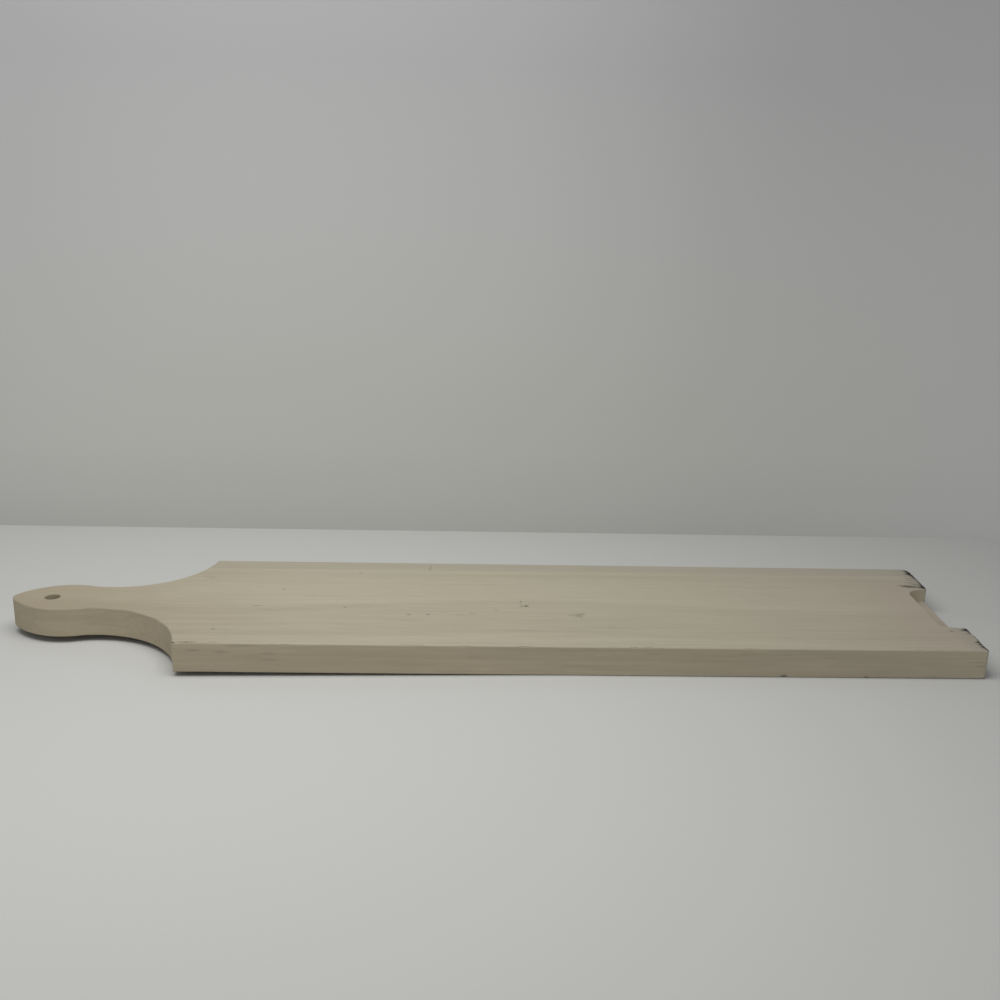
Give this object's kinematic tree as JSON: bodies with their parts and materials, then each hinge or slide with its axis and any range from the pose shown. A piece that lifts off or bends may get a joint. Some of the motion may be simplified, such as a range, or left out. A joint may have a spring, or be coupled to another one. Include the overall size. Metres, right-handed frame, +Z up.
{
  "type": "beer flight board",
  "caption": "Paddle-shaped wooden board for carrying a flight of beer glasses, glued up from staves, with a shaped handle, a hanging hole and, at the other end, a shallow notch cut partway down between two prongs.",
  "frame": {"origin": "middle of the underside of the whole board, handle included", "axes": "+X along the board towards the notched end, +Y across it, +Z up out of the serving face"},
  "size_m": [0.611, 0.14, 0.019],
  "materials": {
    "pale_wood": "sanded bare wood, pale and matt",
    "darker_wood": "sanded bare wood, a shade darker, matt"
  },
  "bodies": {
    "root": {"near_edge_strip": "pale_wood", "near_side_stave": "pale_wood", "handle_stave": "pale_wood", "far_side_stave": "pale_wood", "far_edge_strip": "darker_wood"}
  },
  "joints": []
}
